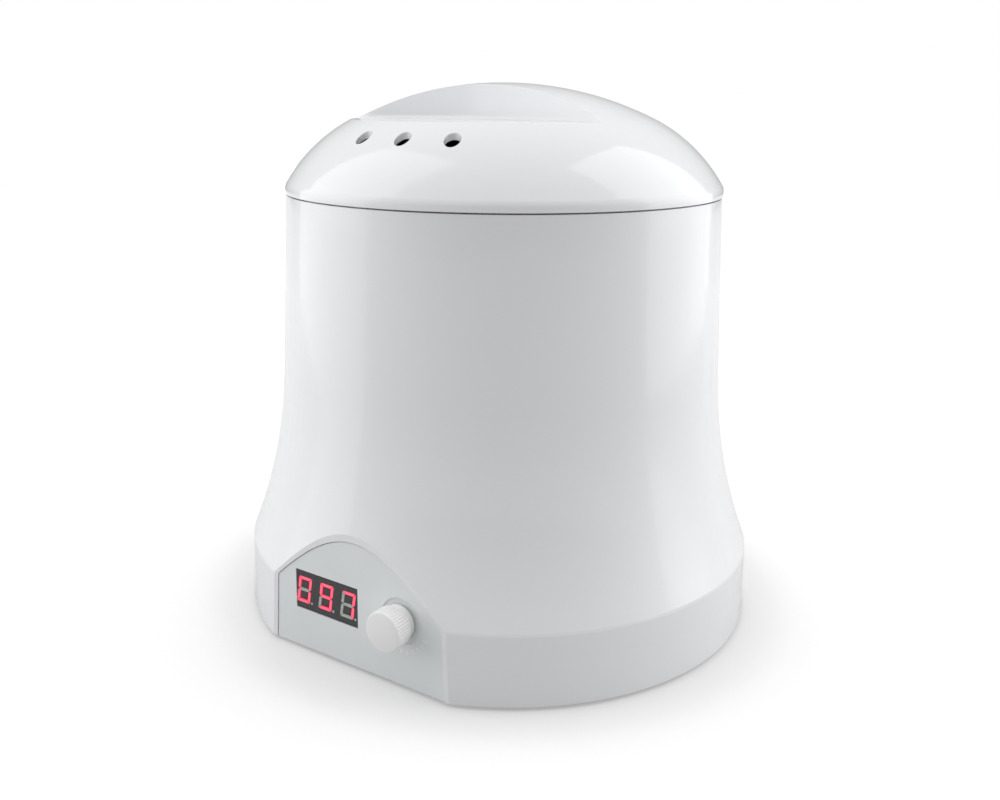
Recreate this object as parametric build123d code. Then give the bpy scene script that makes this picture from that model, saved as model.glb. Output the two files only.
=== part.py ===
from build123d import *
import os
from math import cos, pi, radians, sin, sqrt, tan

# Wax warmer with a lift-off lid, a removable pot and a control panel at the front.
# Millimetres. The origin is the centre of the round base on the table, +Z is up
# and -Y is the flat front with the panel.

# Housing, seen from outside
foot_gap = 1.5
flare_reach = 18.0
band_height = 26.8
band_taper = 0.55
band_edge_round = 3.0
flare_height = 69.0
body_height = 168.1
neck_angle = 2.27
wall = 2.6

# Flat front of the housing and the panel in it
front_cut_depth = 8.7
front_wall = 5.2
lip_width = 2.0
panel_sink = 0.3
panel_thickness = 3.0
panel_gap = 0.25
panel_boss_radius = 2.5
low_panel_screw = (33.0, 8.5)
high_panel_screw = (12.0, 41.5)
control_height = 25.0

# Display
module_width = 30.0
module_height = 15.6
module_depth = 7.2
module_offset = -14.15
module_sink = 0.3
digit_height = 10.6
digit_width = 6.4
digit_pitch = 10.7
digit_slant = 8.0
digit_row_shift = -0.45
stroke = 1.55
stroke_gap = 0.15
segment_depth = 0.35
segment_rise = 0.05
dot_radius = 0.5
dot_gap = 0.55
pin_radius = 0.25
pin_spacing = 2.54
pin_count = 6
shown_digits = ["abcdef", "abcdfg", "abc"]

# Knob and its control
knob_offset = 20.8
knob_height = 26.5
knob_radius = 7.5
knob_length = 7.6
knob_standoff = 3.5
knob_flutes = 48
flute_depth = 0.32
knob_dome_radius = 45.0
knob_edge = 0.4
hub_radius = 6.4
hub_bore_radius = 5.5
hub_gap = 0.5
shaft_radius = 3.0
shaft_play = 0.05
shaft_grip = 6.6
shaft_inside = 4.2
shaft_end_gap = 0.3
bushing_wall = 0.5
bushing_length = 4.6
control_radius = 8.25
control_depth = 7.0
nut_across = 9.0
nut_thickness = 1.8
dish_radius = 8.7
dish_depth = 0.6

# Boards
board_thickness = 1.6
front_board_width = 72.0
front_board_height = 25.0
front_post_spacing = 66.4
front_post_radius = 2.1
front_post_gap = 0.5
front_opening_gap = 0.5
power_board_length = 80.0
power_board_width = 56.0
power_board_centre = 22.0
power_post_height = 8.0
power_post_radius = 3.0
power_post_inset = 5.0

# Screws
small_screw_radius = 1.2
small_head_radius = 2.4
small_head_height = 1.6
small_screw_length = 6.0
panel_screw_hold = 1.8
base_screw_radius = 1.5
base_screw_head = 3.0
base_screw_length = 10.0
flange_screw_radius = 2.0
flange_screw_head = 3.0
flange_screw_length = 10.0
flange_head_height = 1.8
flange_screw_angles = [90, 210, 330]
driver_slot_width = 0.8
driver_slot_depth = 0.7

# Underside
base_plate_rise = 1.0
base_plate_thickness = 2.5
base_plate_play = 0.4
foot_radius = 8.0
foot_inset = 25.5
foot_pocket = 1.0
foot_chamfer = 0.5
foot_angles = [60, 120, 240, 300]
boss_inset = 17.5
boss_radius = 4.5
boss_height = 66.0
boss_angles = [35, 145, 215, 325]
base_slot_length = 34.0
base_slot_width = 2.6
base_slot_pitch = 8.0
base_slot_count = 6

# Rim of the housing
shelf_drop = 9.6
shelf_thickness = 2.6
shelf_opening_gap = 4.7
shelf_boss_radius = 4.0
shelf_boss_length = 8.0
collar_thickness = 3.0
collar_play = 0.3
collar_bore_gap = 2.5
seat_gap = 0.2

# Pot and well
pot_radius = 61.5
pot_wall = 1.5
pot_depth = 102.0
pot_flange_width = 7.0
pot_corner = 4.5
well_gap = 1.0
well_wall = 1.8
well_floor = 3.0
well_flange_edge = 4.0
well_flange_thickness = 1.5
well_flange_room = 9.0
flange_screw_gap = 2.5
pot_floor_gap = 0.3

# Bail handle of the pot
ear_width = 12.0
ear_height = 10.0
ear_thickness = 1.5
ear_foot = 4.0
ear_corner = 3.6
ear_edge_inset = 0.5
pivot_height = 7.0
bail_wire_radius = 1.5
bail_play = 0.1
bail_inset = 8.0
bail_straight = 8.0
bail_bend = 4.0
bail_tip = 1.0
grip_radius = 4.5
grip_angle = 34.0
rivet_radius = 1.0
rivet_head_radius = 1.8
rivet_head_height = 1.0

# Heater
band_thickness = 1.6
band_width = 50.0
band_rise = 14.0
band_split = 8.0
band_ear_length = 10.0
band_ear_thickness = 1.5
band_ear_width = 16.0
band_screw_tail = 3.0
band_head_height = 2.4
band_nut_across = 7.0
band_nut_thickness = 2.4
terminal_offset = 16.0
terminal_width = 6.3
terminal_thickness = 0.8
terminal_length = 12.0
terminal_lap = 3.0
sleeve_thickness = 6.0
sleeve_slot = 46.0
sleeve_rise = 5.0
sleeve_clearance = 2.0
slip_gap = 0.1
probe_radius = 2.5
probe_length = 24.0
fuse_length = 12.0
fuse_wire_radius = 0.6
probe_spacing = 32.0
clip_thickness = 1.0
clip_width = 10.0
clip_foot = 8.0
clip_screw_bite = 2.1

# Lid
seam_gap = 0.6
lid_overhang = 0.3
lid_height = 42.5
lid_wall = 2.0
crown_radius = 136.5
crown_inset = 29.3
edge_radius = 5.0
lid_side_height = 1.3
lip_clearance = 0.5
lip_thickness = 2.0
ridge_half_width = 14.2
ridge_plan_radius = 187.0
scoop_floor_drop = 14.3
scoop_corner_round = 2.0
vent_radius = 3.08
vent_inset = 17.8
vent_step = 15.7
vent_row_angle = -87.8

# Power inlet at the back
inlet_height = 16.0
inlet_recess = 1.3
inlet_flange_width = 26.0
inlet_flange_height = 15.0
inlet_flange_thickness = 1.8
inlet_corner = 2.0
inlet_body_width = 19.6
inlet_body_height = 11.0
inlet_body_depth = 15.0
socket_width = 14.6
socket_height = 7.6
socket_depth = 12.0
inlet_pin_radius = 1.18
inlet_pin_spacing = 8.6
inlet_pin_length = 9.5
inlet_tab_length = 6.0
inlet_pad = 3.0
fit_gap = 0.15

# Parts on the power board
core_size = (32.0, 16.0, 27.0)
coil_size = (20.0, 24.0, 18.0)
core_leg_width = 8.0
transformer_place = (-18.0, 14.0)
relay_size = (15.5, 19.0, 15.0)
relay_place = (22.0, 12.0)
relay_chamfer = 0.8
capacitor_radius = 6.0
capacitor_length = 16.0
capacitor_round = 1.0
capacitor_place = (24.0, 32.0)
terminal_block_size = (44.0, 10.0, 12.0)
mouth_rise = 4.0

# Leads and cable inside
lead_radius = 1.1
lead_bend = 7.0
lead_grip = 3.0
mains_lead_run = 9.0
fuse_lead_run = 14.0
fuse_lead_drop = 14.4
sensor_lead_run = 18.0
cable_radius = 2.0
cable_offset = 6.0
cable_rise = 10.0
cable_inset = 6.0

# Reach of the blocks and bars that cut openings
past = 1.0
far = 400.0

# Heights and distances that follow
band_top = foot_gap + band_height
flare_top = band_top + flare_height
housing_top = foot_gap + body_height
base_plate_bottom = foot_gap + base_plate_rise
base_plate_top = base_plate_bottom + base_plate_thickness
base_screw_seat = base_plate_bottom + base_plate_thickness / 2
shelf_top = housing_top - shelf_drop
collar_top = shelf_top + collar_thickness
well_flange_top = collar_top + well_flange_thickness
pot_flange_bottom = well_flange_top + seat_gap
pot_flange_top = pot_flange_bottom + pot_wall
pot_bottom = pot_flange_top - pot_depth
well_floor_top = pot_bottom - pot_floor_gap
well_bottom = well_floor_top - well_floor
well_inner_radius = pot_radius + well_gap
well_outer_radius = well_inner_radius + well_wall
pot_flange_radius = pot_radius + pot_flange_width
flange_screw_circle = pot_flange_radius + flange_screw_gap + flange_screw_head
well_flange_radius = flange_screw_circle + well_flange_edge
shelf_inner_radius = well_outer_radius + shelf_opening_gap
neck_radius = well_flange_radius + well_flange_room
base_radius = neck_radius + flare_reach
band_top_radius = base_radius - band_taper
front_distance = base_radius - front_cut_depth
foot_circle = base_radius - foot_inset
boss_circle = base_radius - boss_inset
panel_face = front_distance - panel_sink
panel_back = panel_face - panel_thickness
inside_front = front_distance - front_wall
lid_radius = neck_radius + lid_overhang
crown_reach = lid_radius - crown_inset
vent_circle = lid_radius - vent_inset
bail_radius = pot_flange_radius - bail_inset
pivot_z = pot_flange_top + pivot_height
lid_bottom = housing_top + seam_gap
lid_top = lid_bottom + lid_height
board_face = panel_back - control_depth
power_board_bottom = base_plate_top + power_post_height
power_board_top = power_board_bottom + board_thickness
front_post_x = front_post_spacing / 2
power_post_x = power_board_length / 2 - power_post_inset
power_post_y = power_board_width / 2 - power_post_inset
inlet_face = base_radius - inlet_recess
bushing_radius = shaft_radius + shaft_play + bushing_wall
knob_back = -panel_face - knob_standoff
shaft_back = -panel_back + shaft_inside
panel_screw_bite = panel_back - inside_front + panel_screw_hold
display_front = -panel_face + module_sink
segment_front = display_front - segment_rise
board_screw_seat = -board_face + board_thickness
band_bottom = well_bottom + band_rise
band_outer_radius = well_outer_radius + slip_gap + band_thickness
ear_outer_x = pot_flange_radius - ear_edge_inset
ear_inner_x = ear_outer_x - ear_thickness
probe_z = well_bottom - probe_radius
clip_screw_tip = well_bottom + clip_screw_bite
inlet_back = inlet_face - inlet_flange_thickness - inlet_body_depth
block_back = power_board_centre + power_board_width / 2
mouth_height = power_board_top + mouth_rise


def cylinder_z(radius, bottom, top, x=0, y=0):
    """Upright round bar between two heights."""
    return Pos(x, y, (bottom + top) / 2) * Cylinder(radius, top - bottom)


def cylinder_y(radius, start, end, x, z):
    """Round bar along Y between two places."""
    return Pos(x, (start + end) / 2, z) * Rot(90, 0, 0) * Cylinder(radius, abs(end - start))


def block(x_range, y_range, z_range):
    """Rectangular block between two corners."""
    size = [high - low for low, high in (x_range, y_range, z_range)]
    centre = [(high + low) / 2 for low, high in (x_range, y_range, z_range)]
    return Pos(*centre) * Box(*size)


def turned(*edges):
    """Solid turned about the Z axis from an outline of edges in the XZ plane."""
    return revolve(Plane.XZ * make_face(Curve() + list(edges)), Axis.Z)


def ring(inner, outer, bottom, top):
    """Flat round ring."""
    return cylinder_z(outer, bottom, top) - cylinder_z(inner, bottom - 1, top + 1)


def ahead_of(distance):
    """Everything in front of the plane at this distance from the axis."""
    return block((-far, far), (-far, -distance), (-far, far))


def on_circle(radius, angle):
    """Plan position on a circle, angle in degrees from +X."""
    return radius * cos(radians(angle)), radius * sin(radians(angle))


def neck_radius_at(height):
    """Outer radius of the tapered neck at this height."""
    return neck_radius + (housing_top - height) * tan(radians(neck_angle))


def bell(inset, bottom, top):
    """Solid of the housing's outside, moved in by inset, from bottom to top."""
    foot = (base_radius - inset, bottom)
    shoulder = (band_top_radius - inset, band_top)
    waist = (neck_radius_at(flare_top) - inset, flare_top)
    rim = (neck_radius_at(top) - inset, top)
    down_the_neck = (sin(radians(neck_angle)), -cos(radians(neck_angle)))
    solid = turned(
        Line((0, bottom), foot),
        Line(foot, shoulder),
        TangentArc(waist, shoulder, tangent=down_the_neck),
        Line(waist, rim),
        Line(rim, (0, top)),
        Line((0, top), (0, bottom)),
    )
    corner = solid.edges().filter_by(GeomType.CIRCLE).sort_by_distance(
        Vector(shoulder[0], 0, band_top)
    )[0]
    return fillet(corner, band_edge_round)


def arch_block(inset, front, back):
    """Block with the flat front's arched outline, moved in by inset, between two distances."""
    half_width = sqrt(band_top_radius ** 2 - front_distance ** 2)
    radius = sqrt((half_width - inset) ** 2 + front_distance ** 2)
    smaller = bell(band_top_radius - radius, foot_gap, housing_top) - ahead_of(front_distance)
    outline = smaller.faces().filter_by(GeomType.PLANE).sort_by(Axis.Y)[0]
    edges = []
    for edge in outline.edges():
        at_band = edge.geom_type == GeomType.HYPERBOLA
        edges.append(Line(edge @ 0, edge @ 1) if at_band else edge)
    arch = Pos(0, front_distance - front, 0) * make_face(Curve() + edges)
    return extrude(arch, amount=front - back, dir=(0, 1, 0))


def panel_screw_places():
    """Places across and up the front of the panel's four screws."""
    return [(side * x, z) for x, z in (low_panel_screw, high_panel_screw) for side in (-1, 1)]


def make_housing():
    outside = bell(0, foot_gap, housing_top) - ahead_of(front_distance)
    inside = bell(wall, foot_gap - past, housing_top + past) - ahead_of(inside_front)
    shell = outside - inside
    shelf = cylinder_z(neck_radius_at(shelf_top) - wall / 2, shelf_top - shelf_thickness, shelf_top)
    for angle in flange_screw_angles:
        x, y = on_circle(flange_screw_circle, angle)
        boss_bottom = shelf_top - shelf_thickness - shelf_boss_length
        shelf += cylinder_z(shelf_boss_radius, boss_bottom, shelf_top, x, y)
    shelf -= cylinder_z(shelf_inner_radius, 0, housing_top)
    shell += shelf
    for angle in flange_screw_angles:
        x, y = on_circle(flange_screw_circle, angle)
        tip = well_flange_top - flange_screw_length
        shell -= cylinder_z(flange_screw_radius, tip, shelf_top + past, x, y)
    for angle in boss_angles:
        x, y = on_circle(boss_circle, angle)
        column = cylinder_z(boss_radius, base_plate_top, base_plate_top + boss_height, x, y)
        shell += column & bell(wall / 2, foot_gap, housing_top)
        tip = base_plate_bottom + base_screw_length
        shell -= cylinder_z(base_screw_radius, base_plate_top - past, tip, x, y)
    half_width = inlet_flange_width / 2
    half_height = inlet_flange_height / 2
    pad = block(
        (-half_width - wall, half_width + wall),
        (inlet_face - inlet_flange_thickness - inlet_pad, base_radius),
        (inlet_height - half_height - wall, inlet_height + half_height + wall),
    )
    shell += pad & bell(wall / 2, foot_gap, housing_top)
    flange_back = inlet_face - inlet_flange_thickness
    shell -= inlet_slab(half_width + fit_gap, half_height + fit_gap, flange_back, far)
    body_x = inlet_body_width / 2 + fit_gap
    body_z = inlet_body_height / 2 + fit_gap
    shell -= inlet_slab(body_x, body_z, base_radius / 2, far)
    shell -= arch_block(lip_width, front_distance, panel_back)
    half_x = module_width / 2 + front_opening_gap
    half_z = module_height / 2 + front_opening_gap
    shell -= block(
        (module_offset - half_x, module_offset + half_x),
        (-front_distance, -inside_front + past),
        (control_height - half_z, control_height + half_z),
    )
    control_hole = control_radius + front_opening_gap
    shell -= cylinder_y(control_hole, -front_distance, -inside_front + past, knob_offset, knob_height)
    post_hole = front_post_radius + front_post_gap
    for x in (-front_post_x, front_post_x):
        shell -= cylinder_y(post_hole, -front_distance, -inside_front + past, x, control_height)
    boss_hole = panel_boss_radius + fit_gap
    for x, z in panel_screw_places():
        shell -= cylinder_y(boss_hole, -front_distance, -inside_front + past, x, z)
    return shell


def inlet_slab(half_x, half_z, start, end):
    """Block on the inlet's axis from one distance behind the axis to another."""
    return block((-half_x, half_x), (start, end), (inlet_height - half_z, inlet_height + half_z))


def make_control_panel():
    panel = arch_block(lip_width + panel_gap, panel_face, panel_back)
    half_x = module_width / 2 + fit_gap
    half_z = module_height / 2 + fit_gap
    panel -= block(
        (module_offset - half_x, module_offset + half_x),
        (-front_distance, -panel_back + past),
        (control_height - half_z, control_height + half_z),
    )
    dish_floor = -panel_face + dish_depth
    panel -= cylinder_y(dish_radius, -front_distance, dish_floor, knob_offset, knob_height)
    hole = bushing_radius + fit_gap
    panel -= cylinder_y(hole, -front_distance, -panel_back + past, knob_offset, knob_height)
    for x in (-front_post_x, front_post_x):
        tip = board_screw_seat - small_screw_length
        panel += cylinder_y(front_post_radius, -panel_back, -board_face, x, control_height)
        panel -= cylinder_y(small_screw_radius, tip, -board_face + past, x, control_height)
    for x, z in panel_screw_places():
        tip = -inside_front - panel_screw_bite
        panel += cylinder_y(panel_boss_radius, -panel_back, -inside_front, x, z)
        panel -= cylinder_y(small_screw_radius, tip, -inside_front + past, x, z)
    return panel


def screw_y(x, z, tip, seat):
    """Screw along Y with its shank from tip to seat and its head behind the seat."""
    shank = cylinder_y(small_screw_radius, tip, seat, x, z)
    end = seat + small_head_height
    head = cylinder_y(small_head_radius, seat, end, x, z)
    half = driver_slot_width / 2
    slot = block((x - far, x + far), (end - driver_slot_depth, far), (z - half, z + half))
    return shank + head - slot


def make_panel_screws():
    seat = -inside_front
    return [screw_y(x, z, seat - panel_screw_bite, seat) for x, z in panel_screw_places()]


def make_board_screws():
    tip = board_screw_seat - small_screw_length
    places = (-front_post_x, front_post_x)
    return [screw_y(x, control_height, tip, board_screw_seat) for x in places]


def make_control_board():
    board = block(
        (-front_board_width / 2, front_board_width / 2),
        (-board_face, board_screw_seat),
        (control_height - front_board_height / 2, control_height + front_board_height / 2),
    )
    hole = small_screw_radius + fit_gap
    for x in (-front_post_x, front_post_x):
        board -= cylinder_y(hole, -front_distance, board_screw_seat + past, x, control_height)
    return board


def stroke_outline(start, end):
    """Pointed bar of one display stroke between two joints, in the digit's own plane."""
    (x0, z0), (x1, z1) = start, end
    length = sqrt((x1 - x0) ** 2 + (z1 - z0) ** 2)
    ux, uz = (x1 - x0) / length, (z1 - z0) / length
    half = stroke / 2
    near, deep = stroke_gap, stroke_gap + half
    along_across = [
        (near, 0),
        (deep, half),
        (length - deep, half),
        (length - near, 0),
        (length - deep, -half),
        (deep, -half),
    ]
    return [(x0 + ux * a - uz * c, z0 + uz * a + ux * c) for a, c in along_across]


def digit_centre(index):
    """Place of a digit's centre along X, counted from the left."""
    return module_offset + digit_row_shift + (index - 1) * digit_pitch


def segment_solid(outline, index):
    """Diffuser bar of a slanted stroke of one digit, set into the module's face."""
    lean = tan(radians(digit_slant))
    points = [(digit_centre(index) + x + z * lean, control_height + z) for x, z in outline]
    face = make_face(Polyline(*[(x, 0, z) for x, z in points], close=True))
    return extrude(Pos(0, segment_front, 0) * face, amount=segment_depth, dir=(0, 1, 0))


def digit_strokes():
    """Ends of the seven strokes of a digit, named in the usual order a to g."""
    x = (digit_width - stroke) / 2
    z = (digit_height - stroke) / 2
    return {
        "a": ((-x, z), (x, z)),
        "b": ((x, z), (x, 0)),
        "c": ((x, 0), (x, -z)),
        "d": ((-x, -z), (x, -z)),
        "e": ((-x, 0), (-x, -z)),
        "f": ((-x, z), (-x, 0)),
        "g": ((-x, 0), (x, 0)),
    }


def make_lit_segments():
    strokes = digit_strokes()
    return [
        segment_solid(stroke_outline(*strokes[name]), index)
        for index, lit in enumerate(shown_digits)
        for name in lit
    ]


def make_unlit_segments():
    strokes = digit_strokes()
    bars = [
        segment_solid(stroke_outline(*strokes[name]), index)
        for index, lit in enumerate(shown_digits)
        for name in strokes
        if name not in lit
    ]
    lean = tan(radians(digit_slant))
    back = segment_front + segment_depth
    z = control_height - digit_height / 2 + dot_radius
    for index in range(len(shown_digits)):
        corner = digit_centre(index) + digit_width / 2 - digit_height / 2 * lean
        x = corner + dot_gap + dot_radius
        bars.append(cylinder_y(dot_radius, segment_front, back, x, z))
    return bars


def make_display_module():
    module = block(
        (module_offset - module_width / 2, module_offset + module_width / 2),
        (display_front, display_front + module_depth),
        (control_height - module_height / 2, control_height + module_height / 2),
    )
    for bar in make_lit_segments() + make_unlit_segments():
        module -= bar
    return module


def make_display_pins():
    start = display_front + module_depth
    pins = []
    for index in range(pin_count):
        x = module_offset + (index - (pin_count - 1) / 2) * pin_spacing
        for side in (-1, 1):
            z = control_height + side * (module_height / 2 - pin_spacing / 2)
            pins.append(cylinder_y(pin_radius, start, -board_face, x, z))
    return pins


def make_potentiometer():
    tip = -panel_back - bushing_length
    body = cylinder_y(control_radius, -panel_back, -board_face, knob_offset, knob_height)
    body += cylinder_y(bushing_radius, tip, -panel_back, knob_offset, knob_height)
    bore = shaft_radius + shaft_play
    bore_end = shaft_back + shaft_end_gap
    return body - cylinder_y(bore, tip - past, bore_end, knob_offset, knob_height)


def make_potentiometer_nut():
    bearing = -panel_face + dish_depth
    front = bearing - nut_thickness
    hexagon = RegularPolygon(nut_across / 2, 6, major_radius=False)
    place = Pos(knob_offset, bearing, knob_height) * Rot(90, 0, 0)
    nut = extrude(place * hexagon, amount=nut_thickness)
    return nut - cylinder_y(bushing_radius, front - past, bearing + past, knob_offset, knob_height)


def make_potentiometer_shaft():
    tip = knob_back - shaft_grip
    shaft = cylinder_y(shaft_radius, tip, shaft_back, knob_offset, knob_height)
    flat = knob_height + shaft_radius / 2
    return shaft - block((0, 2 * knob_offset), (tip - past, knob_back), (flat, flat + shaft_radius))


def make_knob():
    points = []
    for index in range(knob_flutes * 2):
        angle = pi * index / knob_flutes
        radius = knob_radius - (flute_depth if index % 2 else 0)
        points.append((radius * cos(angle), radius * sin(angle)))
    fluted = extrude(make_face(Polyline(*points, close=True)), amount=knob_length)
    dome = Pos(0, 0, knob_length - knob_dome_radius) * Sphere(knob_dome_radius)
    cap = cylinder_z(knob_radius, 0, knob_length)
    cap = chamfer(cap.edges().filter_by(GeomType.CIRCLE), knob_edge)
    hub = ring(hub_bore_radius, hub_radius, hub_gap - knob_standoff, 0)
    place = Pos(knob_offset, knob_back, knob_height) * Rot(90, 0, 0)
    return place * ((fluted & dome & cap) + hub) - make_potentiometer_shaft()


def make_base_plate():
    radius = base_radius - wall - base_plate_play
    plate = cylinder_z(radius, base_plate_bottom, base_plate_top)
    plate -= ahead_of(inside_front - base_plate_play)
    for angle in foot_angles:
        x, y = on_circle(foot_circle, angle)
        pocket_top = base_plate_top + foot_pocket
        plate += cylinder_z(foot_radius + foot_pocket, base_plate_top, pocket_top, x, y)
        plate -= cylinder_z(foot_radius + fit_gap, 0, base_plate_bottom + foot_pocket, x, y)
    for angle in boss_angles:
        x, y = on_circle(boss_circle, angle)
        plate -= cylinder_z(base_screw_radius + fit_gap, 0, base_plate_top + past, x, y)
        plate -= cylinder_z(base_screw_head + fit_gap, 0, base_screw_seat, x, y)
    for index in range(base_slot_count):
        x = (index - (base_slot_count - 1) / 2) * base_slot_pitch
        for side in (-1, 1):
            place = Pos(x, side * base_slot_length, 0) * Rot(0, 0, 90)
            slot = place * SlotOverall(base_slot_length, base_slot_width)
            plate -= extrude(slot, amount=base_plate_top + past)
    for x, y in power_post_places():
        plate += cylinder_z(power_post_radius, base_plate_bottom, power_board_bottom, x, y)
        plate -= cylinder_z(small_screw_radius, base_plate_top, power_board_bottom + past, x, y)
    return plate


def power_post_places():
    """Plan positions of the four posts under the power board."""
    return [
        (sx * power_post_x, power_board_centre + sy * power_post_y)
        for sx in (-1, 1)
        for sy in (-1, 1)
    ]


def make_base_screws():
    screws = []
    half = driver_slot_width / 2
    tip = base_plate_bottom + base_screw_length
    slot_top = base_plate_bottom + driver_slot_depth
    for angle in boss_angles:
        x, y = on_circle(boss_circle, angle)
        head = cylinder_z(base_screw_head, base_plate_bottom, base_screw_seat, x, y)
        head -= block((x - half, x + half), (y - far, y + far), (0, slot_top))
        screws.append(head + cylinder_z(base_screw_radius, base_screw_seat, tip, x, y))
    return screws


def make_rubber_feet():
    feet = []
    for angle in foot_angles:
        x, y = on_circle(foot_circle, angle)
        foot = cylinder_z(foot_radius, 0, base_plate_bottom + foot_pocket, x, y)
        lower_edge = foot.edges().filter_by(GeomType.CIRCLE).sort_by(Axis.Z)[0]
        feet.append(chamfer(lower_edge, foot_chamfer))
    return feet


def make_rim_collar():
    outer = neck_radius_at(collar_top) - wall - collar_play
    collar = ring(well_outer_radius + collar_bore_gap, outer, shelf_top, collar_top)
    for angle in flange_screw_angles:
        x, y = on_circle(flange_screw_circle, angle)
        collar -= cylinder_z(flange_screw_radius + fit_gap, 0, collar_top + past, x, y)
    return collar


def make_heating_well():
    well = cylinder_z(well_outer_radius, well_bottom, well_flange_top)
    well += cylinder_z(well_flange_radius, collar_top, well_flange_top)
    well -= cylinder_z(well_inner_radius, well_floor_top, well_flange_top + past)
    for angle in flange_screw_angles:
        x, y = on_circle(flange_screw_circle, angle)
        well -= cylinder_z(flange_screw_radius + fit_gap, 0, well_flange_top + past, x, y)
    for x, y in clip_screw_places():
        well -= cylinder_z(small_screw_radius, 0, clip_screw_tip, x, y)
    return well


def make_flange_screws():
    screws = []
    half = driver_slot_width / 2
    tip = well_flange_top - flange_screw_length
    head_top = well_flange_top + flange_head_height
    for angle in flange_screw_angles:
        x, y = on_circle(flange_screw_circle, angle)
        head = cylinder_z(flange_screw_head, well_flange_top, head_top, x, y)
        head -= block((x - half, x + half), (y - far, y + far), (head_top - driver_slot_depth, far))
        screws.append(head + cylinder_z(flange_screw_radius, tip, well_flange_top, x, y))
    return screws


def make_heating_band():
    inner = band_outer_radius - band_thickness
    outer = band_outer_radius
    top = band_bottom + band_width
    band = ring(inner, outer, band_bottom, top)
    y, middle = band_screw_place()
    heights = (middle - band_ear_width / 2, middle + band_ear_width / 2)
    for side in (-1, 1):
        near, away = side * band_split / 2, side * (band_split / 2 + band_ear_thickness)
        ear = block(sorted((near, away)), (inner, outer + band_ear_length), heights)
        band += ear - cylinder_z(inner + band_thickness / 2, band_bottom, top)
    band -= block((-band_split / 2, band_split / 2), (0, far), (0, far))
    return band - bar_x(flange_screw_radius + fit_gap, -far, far, y, middle)


def bar_x(radius, start, end, y, z):
    """Round bar along X between two places."""
    return Pos((start + end) / 2, y, z) * Rot(0, 90, 0) * Cylinder(radius, end - start)


def band_screw_place():
    """Distance behind the axis and height of the screw that closes the band."""
    return band_outer_radius + band_ear_length / 2, band_bottom + band_width / 2


def make_band_screw():
    y, z = band_screw_place()
    reach = band_split / 2 + band_ear_thickness
    tail = reach + band_nut_thickness + band_screw_tail
    head = bar_x(flange_screw_head, -reach - band_head_height, -reach, y, z)
    return head + bar_x(flange_screw_radius, -reach, tail, y, z)


def make_band_nut():
    y, z = band_screw_place()
    reach = band_split / 2 + band_ear_thickness
    hexagon = RegularPolygon(band_nut_across / 2, 6, major_radius=False)
    nut = extrude(Pos(reach, y, z) * Rot(0, 90, 0) * hexagon, amount=band_nut_thickness)
    return nut - bar_x(flange_screw_radius, 0, far, y, z)


def terminal_root():
    """Distance behind the axis of the band's outside at the terminals."""
    return sqrt(band_outer_radius ** 2 - (terminal_offset - terminal_width / 2) ** 2)


def make_heater_terminals():
    y = terminal_root()
    top = band_bottom + terminal_lap
    half = terminal_width / 2
    return [
        block((x - half, x + half), (y, y + terminal_thickness), (top - terminal_length, top))
        for x in (-terminal_offset, terminal_offset)
    ]


def make_insulation_sleeve():
    inner = band_outer_radius + slip_gap
    top = shelf_top - shelf_thickness - shelf_boss_length - sleeve_clearance
    sleeve = ring(inner, inner + sleeve_thickness, well_bottom + sleeve_rise, top)
    return sleeve - block((-sleeve_slot / 2, sleeve_slot / 2), (0, far), (0, far))


def clip_screw_places():
    """Plan positions of the four screws that hold the two clips under the well."""
    reach = probe_radius + clip_thickness + clip_foot / 2
    return [(sx * probe_spacing / 2 + sy * reach, 0) for sx in (-1, 1) for sy in (-1, 1)]


def make_retaining_clips():
    clips = []
    across = (-clip_width / 2, clip_width / 2)
    groove_floor = well_bottom - 2 * probe_radius
    saddle = probe_radius + clip_thickness
    foot = saddle + clip_foot
    for x in (-probe_spacing / 2, probe_spacing / 2):
        clip = block((x - foot, x + foot), across, (well_bottom - clip_thickness, well_bottom))
        clip += block((x - saddle, x + saddle), across, (groove_floor - clip_thickness, well_bottom))
        clip -= block((x - probe_radius, x + probe_radius), (-far, far), (groove_floor, far))
        for hole_x, hole_y in clip_screw_places():
            clip -= cylinder_z(small_screw_radius + fit_gap, 0, far, hole_x, hole_y)
        clips.append(clip)
    return clips


def make_clip_screws():
    screws = []
    for x, y in clip_screw_places():
        seat = well_bottom - clip_thickness
        head = cylinder_z(small_head_radius, seat - small_head_height, seat, x, y)
        screws.append(head + cylinder_z(small_screw_radius, seat, clip_screw_tip, x, y))
    return screws


def make_temperature_sensor():
    x = -probe_spacing / 2
    return cylinder_y(probe_radius, -probe_length / 2, probe_length / 2, x, probe_z)


def make_thermal_fuse():
    x = probe_spacing / 2
    fuse = cylinder_y(probe_radius, -fuse_length / 2, fuse_length / 2, x, probe_z)
    return fuse + cylinder_y(fuse_wire_radius, -probe_length / 2, probe_length / 2, x, probe_z)


def make_pot():
    pot = cylinder_z(pot_radius, pot_bottom, pot_flange_top)
    pot += cylinder_z(pot_flange_radius, pot_flange_bottom, pot_flange_top)
    pot = fillet(pot.edges().filter_by(GeomType.CIRCLE).sort_by(Axis.Z)[0], pot_corner)
    cavity = cylinder_z(pot_radius - pot_wall, pot_bottom + pot_wall, pot_flange_top + past)
    lower_edge = cavity.edges().filter_by(GeomType.CIRCLE).sort_by(Axis.Z)[0]
    pot -= fillet(lower_edge, pot_corner - pot_wall)
    for x, y in rivet_places():
        pot -= cylinder_z(rivet_radius, 0, far, x, y)
    return pot


def rivet_places():
    """Plan positions of the two rivets of each ear, on its foot at both sides of the bail."""
    x = ear_inner_x - ear_foot / 2
    y = ear_width / 2 - rivet_head_radius
    return [(sx * x, sy * y) for sx in (-1, 1) for sy in (-1, 1)]


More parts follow.
